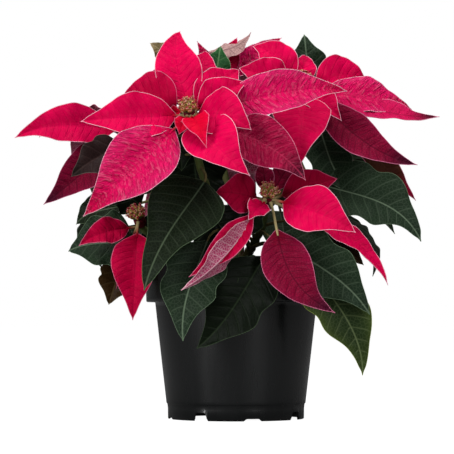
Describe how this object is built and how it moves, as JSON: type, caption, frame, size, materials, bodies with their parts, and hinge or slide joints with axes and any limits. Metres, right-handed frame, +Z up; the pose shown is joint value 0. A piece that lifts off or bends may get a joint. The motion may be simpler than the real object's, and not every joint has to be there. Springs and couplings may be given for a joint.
{
  "type": "potted poinsettia",
  "caption": "Bushy poinsettia with red bracts, dark green leaves and bud-like flowers, growing in soil in a round black plastic nursery pot.",
  "frame": {"origin": "centre of the pot's base, on the surface that the pot stands on", "axes": "+Z up along the pot's axis; the side of the plant that the picture shows faces -Y, with +X to the right"},
  "size_m": [0.3026, 0.2707, 0.2792],
  "materials": {
    "black_plastic": "satin",
    "peat": "matte",
    "woody_stem": "matte",
    "green_leaf": "satin",
    "red_bract": "satin",
    "cyathium": "satin"
  },
  "bodies": {
    "root": {"pot": "black_plastic", "soil": "peat", "main_stem": "woody_stem", "leafy_stem_front_left": "green_leaf", "leafy_stem_right": "green_leaf", "leafy_stem_front_right": "green_leaf", "leafy_stem_left": "green_leaf", "leafy_stem_top": "green_leaf", "leafy_stem_back_right": "green_leaf", "leafy_stem_back_left": "green_leaf", "leafy_stem_back": "green_leaf", "bracts_front_left": "red_bract", "bracts_right": "red_bract", "bracts_front_right": "red_bract", "bracts_left": "red_bract", "bracts_top": "red_bract", "bracts_back_right": "red_bract", "bracts_back_left": "red_bract", "bracts_back": "red_bract", "cyathia_front_left": "cyathium", "cyathia_right": "cyathium", "cyathia_front_right": "cyathium", "cyathia_left": "cyathium", "cyathia_top": "cyathium", "cyathia_back_right": "cyathium", "cyathia_back_left": "cyathium", "cyathia_back": "cyathium"}
  },
  "joints": []
}
